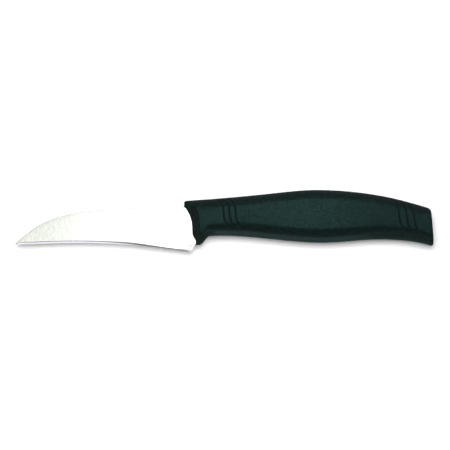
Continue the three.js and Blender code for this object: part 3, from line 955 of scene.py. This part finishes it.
def studio_world():
    """A dim dome, a little brighter overhead, with a pale band round its foot and pale walls on two sides.

    The band carries the floor on beyond its edge. The walls, to left and right, and a dimmer low one all
    round are there for the camera, gloss and glass alone.
    """
    world = bpy.data.worlds.new("studio")
    world.use_nodes = True
    tree = world.node_tree
    direction = add_node(tree, "ShaderNodeTexCoord").outputs["Generated"]
    parts = add_node(tree, "ShaderNodeSeparateXYZ", links={"Vector": direction}).outputs
    up = parts["Z"]
    aside = add_math(tree, "ABSOLUTE", parts["X"])
    dome = add_ramp(tree, up, *DOME)
    horizon = add_ramp(tree, up, *HORIZON, smooth=True)
    side_walls = add_ramp(tree, aside, *SIDE_WALLS, smooth=True)
    low_wall = add_ramp(tree, up, *LOW_WALL, smooth=True)
    walls = add_math(tree, "MAXIMUM", side_walls, low_wall)
    walls = add_math(tree, "MULTIPLY", walls, seen_directly(tree))
    around = add_math(tree, "MAXIMUM", horizon, walls)
    background = tree.nodes["Background"]
    tree.links.new(add_math(tree, "ADD", dome, around), background.inputs["Strength"])
    background.inputs["Color"].default_value = (1, 1, 1, 1)
    return world


def pale_floor(settings):
    """A pale floor, as light to gloss and glass as it is to the camera, that takes the knife's shadow."""
    mesh = bpy.data.meshes.new("floor")
    signs = ((-1, -1), (1, -1), (1, 1), (-1, 1))
    corners = [(x * FLOOR_REACH, y * FLOOR_REACH, -FLOOR_DROP) for x, y in signs]
    mesh.from_pydata(corners, [], [(0, 1, 2, 3)])
    material, tree, surface = new_material("pale_floor")
    position = add_node(tree, "ShaderNodeTexCoord").outputs["Object"]
    away = add_node(tree, "ShaderNodeVectorMath", links={0: position}, operation="LENGTH").outputs["Value"]
    glow = add_ramp(tree, away, *GLOW_ENDS, settings.floor_lift, settings.far_lift, smooth=True)
    lift = add_math(tree, "MULTIPLY", seen_directly(tree), glow)
    tree.links.new(lift, surface.inputs["Emission Strength"])
    surface.inputs["Emission Color"].default_value = (1, 1, 1, 1)
    surface.inputs["Base Color"].default_value = opaque(settings.floor_colour)
    surface.inputs["Roughness"].default_value = FLOOR_ROUGHNESS
    surface.inputs["Specular IOR Level"].default_value = 0.0
    mesh.materials.append(material)
    floor = bpy.data.objects.new("floor", mesh)
    bpy.context.scene.collection.objects.link(floor)


def overhead_camera(settings, centre):
    """A camera that looks straight down, from where the picture has its set width at centre."""
    camera = bpy.data.cameras.new("camera")
    camera.lens = settings.lens
    eye = bpy.data.objects.new("camera", camera)
    distance = settings.view_width * settings.lens / camera.sensor_width
    eye.location = centre + Vector((0, 0, distance))
    bpy.context.scene.collection.objects.link(eye)
    return eye


# Operators

class KNIFE_OT_blade(bpy.types.Operator):
    """Make the ground blade with its tang"""

    bl_idname = "knife.make_blade"
    bl_label = "Blade"

    def execute(self, context):
        settings = context.scene.knife_blade
        rings, masks = blade_rings(settings)
        blade = closed_skin("ground_blade", rings, masks, BLADE_CREASE)
        stand_in_for(blade, "blade", ground_steel(settings))
        return {"FINISHED"}


class KNIFE_OT_handle(bpy.types.Operator):
    """Make the moulded handle with its socket and grooves"""

    bl_idname = "knife.make_handle"
    bl_label = "Handle"

    def execute(self, context):
        settings = context.scene.knife_handle
        rings, masks = handle_rings(settings)
        handle = closed_skin("moulded_handle", rings, masks, HANDLE_CREASE)
        stand_in_for(handle, "handle", moulded_polymer(settings))
        return {"FINISHED"}


class KNIFE_OT_stage(bpy.types.Operator):
    """Set up the floor, the lamps, the surroundings and the camera"""

    bl_idname = "knife.make_stage"
    bl_label = "Stage"

    def execute(self, context):
        scene = context.scene
        settings = scene.knife_stage
        scene.view_settings.view_transform = "Standard"
        low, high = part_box("blade")
        centre = Vector((CAMERA_OVER[0] * MM, CAMERA_OVER[1] * MM, (low.z + high.z) / 2))
        pale_floor(settings)
        studio_lamps(settings, centre)
        scene.world = studio_world()
        scene.camera = overhead_camera(settings, centre)
        return {"FINISHED"}


class KNIFE_PT_sidebar(bpy.types.Panel):
    """The knife's settings and the buttons that make it"""

    bl_label = "Paring knife"
    bl_idname = "KNIFE_PT_sidebar"
    bl_space_type = "VIEW_3D"
    bl_region_type = "UI"
    bl_category = "Knife"

    def draw(self, context):
        for settings, operator in (
            (context.scene.knife_blade, KNIFE_OT_blade),
            (context.scene.knife_handle, KNIFE_OT_handle),
            (context.scene.knife_stage, KNIFE_OT_stage),
        ):
            box = self.layout.box()
            for label in settings.bl_rna.properties.keys():
                if label not in {"rna_type", "name"}:
                    box.prop(settings, label)
            box.operator(operator.bl_idname)


CLASSES = (
    KnifeBladeSettings, KnifeHandleSettings, KnifeStageSettings,
    KNIFE_OT_blade, KNIFE_OT_handle, KNIFE_OT_stage, KNIFE_PT_sidebar,
)


def register():
    for cls in CLASSES:
        bpy.utils.register_class(cls)
    bpy.types.Scene.knife_blade = PointerProperty(type=KnifeBladeSettings)
    bpy.types.Scene.knife_handle = PointerProperty(type=KnifeHandleSettings)
    bpy.types.Scene.knife_stage = PointerProperty(type=KnifeStageSettings)


def unregister():
    del bpy.types.Scene.knife_blade
    del bpy.types.Scene.knife_handle
    del bpy.types.Scene.knife_stage
    for cls in reversed(CLASSES):
        bpy.utils.unregister_class(cls)


def main():
    register()
    bpy.ops.knife.make_stage()
    bpy.ops.knife.make_blade()
    bpy.ops.knife.make_handle()


if __name__ == "__main__":
    main()
